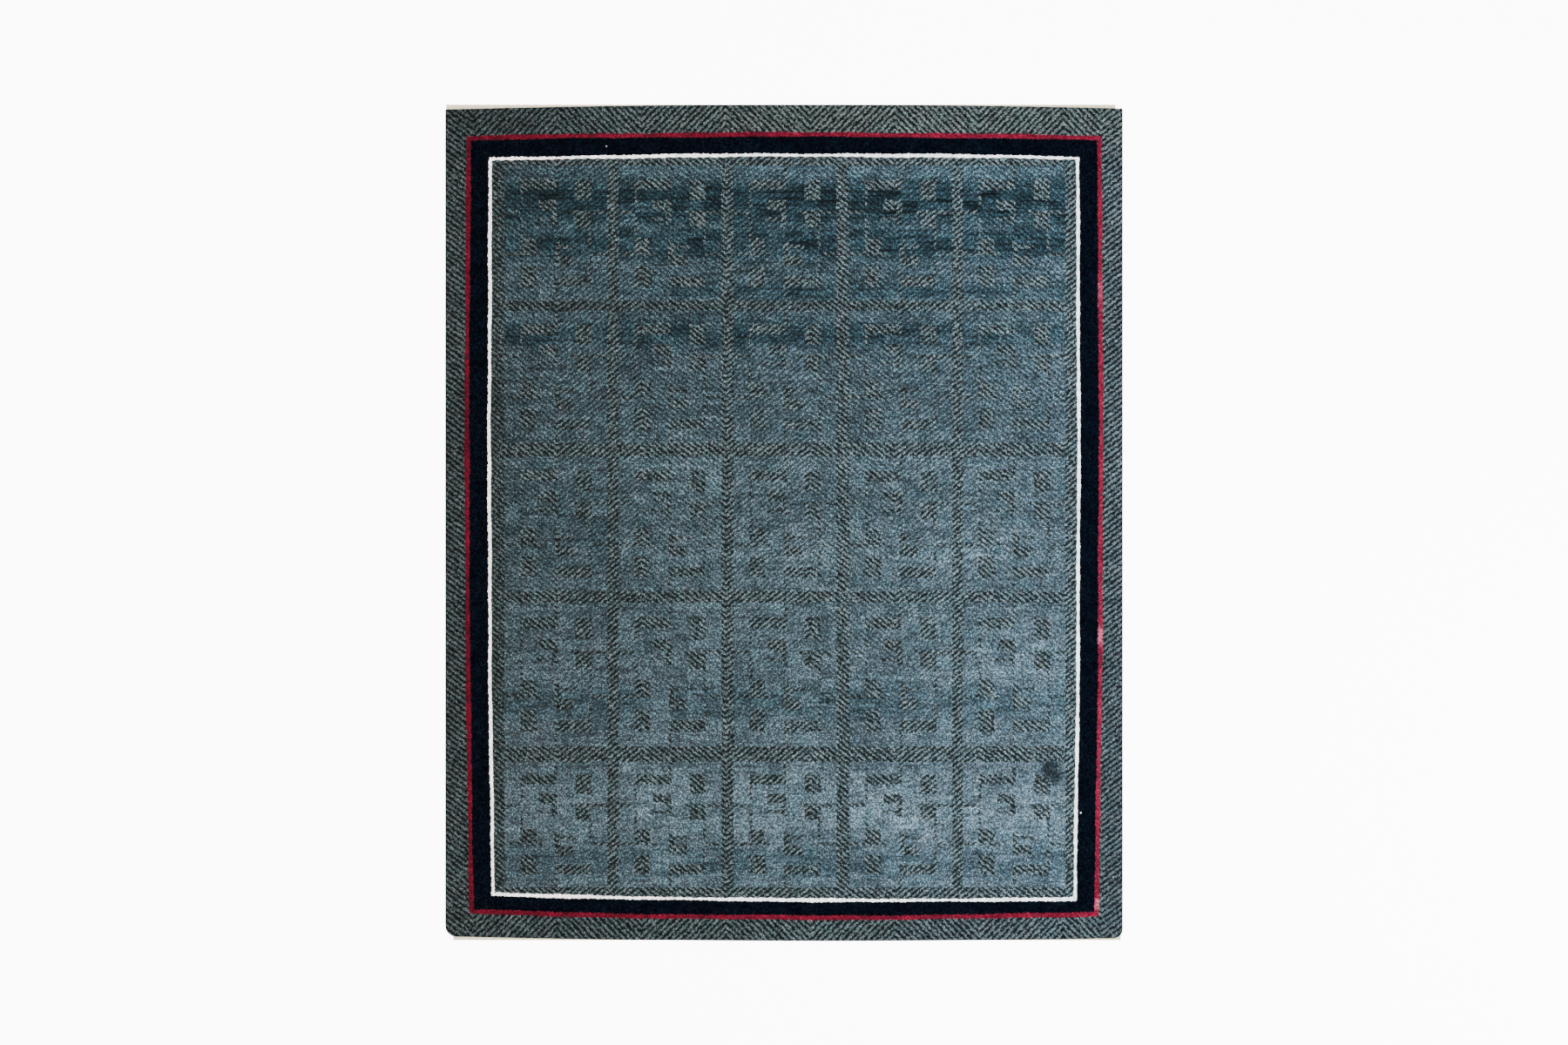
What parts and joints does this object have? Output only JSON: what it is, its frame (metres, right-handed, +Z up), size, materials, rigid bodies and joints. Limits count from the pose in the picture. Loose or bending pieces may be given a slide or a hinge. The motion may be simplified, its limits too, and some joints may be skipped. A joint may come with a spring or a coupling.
{
  "type": "rug",
  "caption": "Flat hand-knotted pile rug with fret tiles standing a little above the ground pile, lined borders and short flat-woven cotton ends.",
  "frame": {"origin": "centre of the rug's underside, on the surface that it lies on", "axes": "+X across the rug's width, +Y along its length towards the upper end of the picture, +Z up out of the pile"},
  "size_m": [2.467, 3.0505, 0.0125],
  "materials": {
    "pile": "matte",
    "web": "matte"
  },
  "bodies": {
    "root": {"rug": "pile"}
  },
  "joints": []
}
